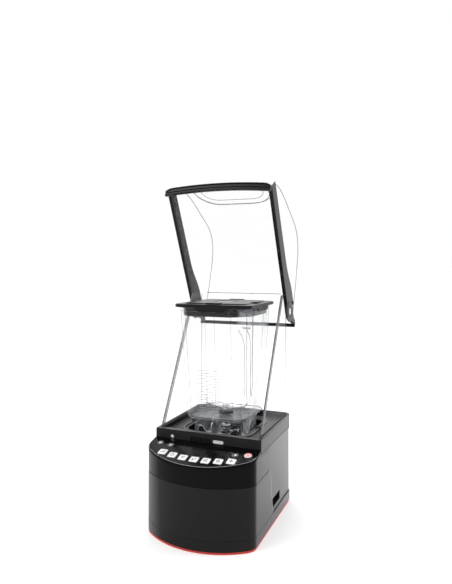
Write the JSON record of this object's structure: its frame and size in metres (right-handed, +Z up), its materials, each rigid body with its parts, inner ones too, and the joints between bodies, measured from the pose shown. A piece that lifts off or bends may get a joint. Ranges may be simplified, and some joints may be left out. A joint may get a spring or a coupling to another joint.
{
  "type": "countertop blender",
  "caption": "Countertop blender with a square clear jar, lift-out motor unit on a chromed drive plate, keyed control panel and clear hinged sound enclosure.",
  "frame": {"origin": "on the surface the blender stands on, in the middle of the foot pad under the blade axis", "axes": "+Z up along the blade axis, -Y towards the control panel, +X to the right as seen from the front"},
  "size_m": [0.21, 0.3327, 0.6259],
  "materials": {
    "silicone_red": "matt",
    "shell_black": "satin",
    "gloss_black": "gloss",
    "deck_grey": "satin",
    "display_dark": "gloss",
    "board_green": "satin",
    "lead_mint": "satin",
    "screw_steel": "satin",
    "gland_rubber": "matt",
    "key_white": "satin",
    "key_dark": "satin",
    "key_red": "satin",
    "plate_chrome": "polished",
    "bracket_aluminium": "cast",
    "stator_steel": "laminated",
    "winding_copper": "enamelled",
    "motor_black": "satin",
    "contact_brass": "satin",
    "jar_clear": "clear",
    "hood_clear": "clear",
    "lid_rubber": "satin",
    "insert_pale": "matt",
    "frame_black": "satin",
    "band_rubber": "satin"
  },
  "bodies": {
    "base": {"foot_pad": "silicone_red", "floor_tray": "shell_black", "rear_housing": "shell_black", "shoulder_plate": "shell_black", "front_cover": "shell_black", "upper_band": "gloss_black", "control_panel": "gloss_black", "display_window": "display_dark", "deck": "deck_grey", "enclosure_lugs": "shell_black", "grip_cups": "shell_black", "air_duct": "motor_black", "circuit_boards": "board_green", "earth_lead": "lead_mint", "base_screws": "screw_steel", "cord_gland": "gland_rubber", "switch_bezel": "shell_black"},
    "motor": {"plate_gasket": "silicone_red", "drive_plate": "plate_chrome", "motor_bracket": "bracket_aluminium", "stator_core": "stator_steel", "field_coils": "winding_copper", "motor_housing": "motor_black", "end_cap": "motor_black", "brass_contacts": "contact_brass", "through_bolts": "screw_steel", "motor_bearings": "screw_steel"},
    "rotor": {"rotor_shaft": "screw_steel", "armature_core": "stator_steel", "commutator": "winding_copper", "cooling_fan": "motor_black", "drive_ball": "plate_chrome"},
    "jar": {"jar_body": "jar_clear", "jar_skirt": "jar_clear", "jar_handle": "jar_clear", "bearing_housing": "shell_black", "retaining_nut": "motor_black", "blade_bearings": "screw_steel"},
    "blade": {"wing_blade": "screw_steel", "blade_shaft": "screw_steel"},
    "lid": {"lid_body": "lid_rubber", "lid_insert": "insert_pale"},
    "enclosure": {"enclosure_frame": "frame_black", "frame_seal": "band_rubber", "rear_shell": "hood_clear", "hinge_pins": "screw_steel"},
    "hood": {"hood_shell": "hood_clear", "hood_gasket": "band_rubber"},
    "power_switch": {"switch_rocker": "gloss_black"},
    "touch_1": {"key_1": "key_white"},
    "touch_2": {"key_2": "key_white"},
    "touch_3": {"key_3": "key_white"},
    "touch_4": {"key_4": "key_white"},
    "touch_5": {"key_5": "key_white"},
    "touch_6": {"key_6": "key_white"},
    "touch_7": {"key_7": "key_white"},
    "touch_slower": {"key_slower": "key_dark"},
    "touch_faster": {"key_faster": "key_dark"},
    "touch_pulse": {"key_pulse": "key_dark"},
    "touch_stop": {"key_stop": "key_red"}
  },
  "joints": [
    {"name": "motor_lift", "type": "slide", "parent": "base", "child": "motor", "axis": [0, 0, 1], "range_m": [0, 0.188]},
    {"name": "drive_spin", "type": "hinge", "parent": "motor", "child": "rotor", "pos_m": [0, 0, 0.1], "axis": [0, 0, 1], "continuous": true},
    {"name": "jar_lift", "type": "slide", "parent": "motor", "child": "jar", "axis": [0, 0, 1], "range_m": [0, 0.123]},
    {"name": "blade_spin", "type": "hinge", "parent": "jar", "child": "blade", "pos_m": [0, 0, 0.19], "axis": [0, 0, 1], "continuous": true},
    {"name": "lid_lift", "type": "slide", "parent": "jar", "child": "lid", "axis": [0, 0, 1], "range_m": [0, 0.071]},
    {"name": "enclosure_lift", "type": "slide", "parent": "base", "child": "enclosure", "axis": [0, 0, 1], "range_m": [0, 0.311]},
    {"name": "hood_swing", "type": "hinge", "parent": "enclosure", "child": "hood", "pos_m": [0, 0.084, 0.38], "axis": [-1, 0, 0], "range_deg": [-110, 0]},
    {"name": "switch_rock", "type": "hinge", "parent": "base", "child": "power_switch", "pos_m": [0.062, 0.0945, 0.066], "axis": [1, 0, 0], "range_deg": [0, 14]},
    {"name": "touch_key_1", "type": "slide", "parent": "base", "child": "touch_1", "axis": [0, 0.2215, -0.9751], "range_m": [0, 0.0008], "stiffness_N_per_m": 900},
    {"name": "touch_key_2", "type": "slide", "parent": "base", "child": "touch_2", "axis": [0, 0.2215, -0.9751], "range_m": [0, 0.0008], "stiffness_N_per_m": 900},
    {"name": "touch_key_3", "type": "slide", "parent": "base", "child": "touch_3", "axis": [0, 0.2215, -0.9751], "range_m": [0, 0.0008], "stiffness_N_per_m": 900},
    {"name": "touch_key_4", "type": "slide", "parent": "base", "child": "touch_4", "axis": [0, 0.2215, -0.9751], "range_m": [0, 0.0008], "stiffness_N_per_m": 900},
    {"name": "touch_key_5", "type": "slide", "parent": "base", "child": "touch_5", "axis": [0, 0.2215, -0.9751], "range_m": [0, 0.0008], "stiffness_N_per_m": 900},
    {"name": "touch_key_6", "type": "slide", "parent": "base", "child": "touch_6", "axis": [0, 0.2215, -0.9751], "range_m": [0, 0.0008], "stiffness_N_per_m": 900},
    {"name": "touch_key_7", "type": "slide", "parent": "base", "child": "touch_7", "axis": [0, 0.2215, -0.9751], "range_m": [0, 0.0008], "stiffness_N_per_m": 900},
    {"name": "touch_key_slower", "type": "slide", "parent": "base", "child": "touch_slower", "axis": [0, 0.2215, -0.9751], "range_m": [0, 0.0008], "stiffness_N_per_m": 900},
    {"name": "touch_key_faster", "type": "slide", "parent": "base", "child": "touch_faster", "axis": [0, 0.2215, -0.9751], "range_m": [0, 0.0008], "stiffness_N_per_m": 900},
    {"name": "touch_key_pulse", "type": "slide", "parent": "base", "child": "touch_pulse", "axis": [0, 0.2215, -0.9751], "range_m": [0, 0.0008], "stiffness_N_per_m": 900},
    {"name": "touch_key_stop", "type": "slide", "parent": "base", "child": "touch_stop", "axis": [0, 0.2215, -0.9751], "range_m": [0, 0.0008], "stiffness_N_per_m": 900}
  ],
  "couplings": [
    {"joint": "blade_spin", "follows": "drive_spin", "ratio": 1}
  ]
}
